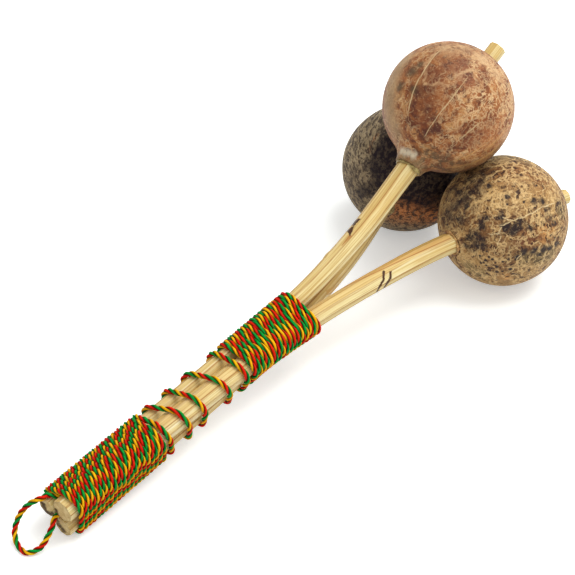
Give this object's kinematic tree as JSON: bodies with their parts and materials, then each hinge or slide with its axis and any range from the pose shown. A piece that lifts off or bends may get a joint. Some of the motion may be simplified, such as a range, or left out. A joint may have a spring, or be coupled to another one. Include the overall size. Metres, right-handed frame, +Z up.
{
  "type": "triple nut shell rattle",
  "caption": "Hand rattle of hollow round nut shells with loose seeds, each on a whittled stick, the sticks bound into one handle with tricolour twisted cord and a hanging loop",
  "frame": {"origin": "centre of the underside of the box round the rattle as it lies, without its free loop", "axes": "+X along the handle from the butt to the shells, +Z up as it lies on its two lower shells and the butt's binding"},
  "size_m": [0.3444, 0.1318, 0.1218],
  "materials": {
    "straw_wood": "whittled, bare",
    "red_brown_shell": "satin, veined",
    "tan_shell": "satin, speckled",
    "dark_shell": "dull, streaked",
    "yellow_glue": "translucent",
    "tricolour_cord": "twisted, glossy strands",
    "dry_seed": "smooth"
  },
  "bodies": {
    "rattle": {"stick_top": "straw_wood", "stick_right": "straw_wood", "stick_left": "straw_wood", "shell_top": "red_brown_shell", "shell_right": "tan_shell", "shell_left": "dark_shell", "glue_top": "yellow_glue", "glue_right": "yellow_glue", "glue_left": "yellow_glue", "lower_whipping": "tricolour_cord", "spiral_wrap": "tricolour_cord", "upper_whipping": "tricolour_cord", "loop_tail_upper": "tricolour_cord", "loop_tail_centre": "tricolour_cord"},
    "loop": {"hanging_loop": "tricolour_cord"},
    "seed_top_1_body": {"seed_top_1": "dry_seed"},
    "seed_top_2_body": {"seed_top_2": "dry_seed"},
    "seed_top_3_body": {"seed_top_3": "dry_seed"},
    "seed_top_4_body": {"seed_top_4": "dry_seed"},
    "seed_top_5_body": {"seed_top_5": "dry_seed"},
    "seed_right_1_body": {"seed_right_1": "dry_seed"},
    "seed_right_2_body": {"seed_right_2": "dry_seed"},
    "seed_right_3_body": {"seed_right_3": "dry_seed"},
    "seed_right_4_body": {"seed_right_4": "dry_seed"},
    "seed_right_5_body": {"seed_right_5": "dry_seed"},
    "seed_left_1_body": {"seed_left_1": "dry_seed"},
    "seed_left_2_body": {"seed_left_2": "dry_seed"},
    "seed_left_3_body": {"seed_left_3": "dry_seed"},
    "seed_left_4_body": {"seed_left_4": "dry_seed"},
    "seed_left_5_body": {"seed_left_5": "dry_seed"}
  },
  "joints": [
    {"name": "loop_swing", "type": "hinge", "parent": "rattle", "child": "loop", "pos_m": [-0.16342, 0.00254, 0.01587], "axis": [-0.0827, 0.7201, 0.6889], "range_deg": [0, 90], "deforming": ["hanging_loop"]},
    {"name": "seed_top_1_jump", "type": "slide", "parent": "rattle", "child": "seed_top_1_body", "axis": [0, 0, 1], "range_m": [0, 0.0162]},
    {"name": "seed_top_2_jump", "type": "slide", "parent": "rattle", "child": "seed_top_2_body", "axis": [0, 0, 1], "range_m": [0, 0.0224]},
    {"name": "seed_top_3_jump", "type": "slide", "parent": "rattle", "child": "seed_top_3_body", "axis": [0, 0, 1], "range_m": [0, 0.0159]},
    {"name": "seed_top_4_jump", "type": "slide", "parent": "rattle", "child": "seed_top_4_body", "axis": [0, 0, 1], "range_m": [0, 0.0126]},
    {"name": "seed_top_5_jump", "type": "slide", "parent": "rattle", "child": "seed_top_5_body", "axis": [0, 0, 1], "range_m": [0, 0.0183]},
    {"name": "seed_right_1_jump", "type": "slide", "parent": "rattle", "child": "seed_right_1_body", "axis": [0, 0, 1], "range_m": [0, 0.0189]},
    {"name": "seed_right_2_jump", "type": "slide", "parent": "rattle", "child": "seed_right_2_body", "axis": [0, 0, 1], "range_m": [0, 0.023]},
    {"name": "seed_right_3_jump", "type": "slide", "parent": "rattle", "child": "seed_right_3_body", "axis": [0, 0, 1], "range_m": [0, 0.0193]},
    {"name": "seed_right_4_jump", "type": "slide", "parent": "rattle", "child": "seed_right_4_body", "axis": [0, 0, 1], "range_m": [0, 0.0196]},
    {"name": "seed_right_5_jump", "type": "slide", "parent": "rattle", "child": "seed_right_5_body", "axis": [0, 0, 1], "range_m": [0, 0.0182]},
    {"name": "seed_left_1_jump", "type": "slide", "parent": "rattle", "child": "seed_left_1_body", "axis": [0, 0, 1], "range_m": [0, 0.0188]},
    {"name": "seed_left_2_jump", "type": "slide", "parent": "rattle", "child": "seed_left_2_body", "axis": [0, 0, 1], "range_m": [0, 0.0188]},
    {"name": "seed_left_3_jump", "type": "slide", "parent": "rattle", "child": "seed_left_3_body", "axis": [0, 0, 1], "range_m": [0, 0.0207]},
    {"name": "seed_left_4_jump", "type": "slide", "parent": "rattle", "child": "seed_left_4_body", "axis": [0, 0, 1], "range_m": [0, 0.0181]},
    {"name": "seed_left_5_jump", "type": "slide", "parent": "rattle", "child": "seed_left_5_body", "axis": [0, 0, 1], "range_m": [0, 0.0211]}
  ]
}
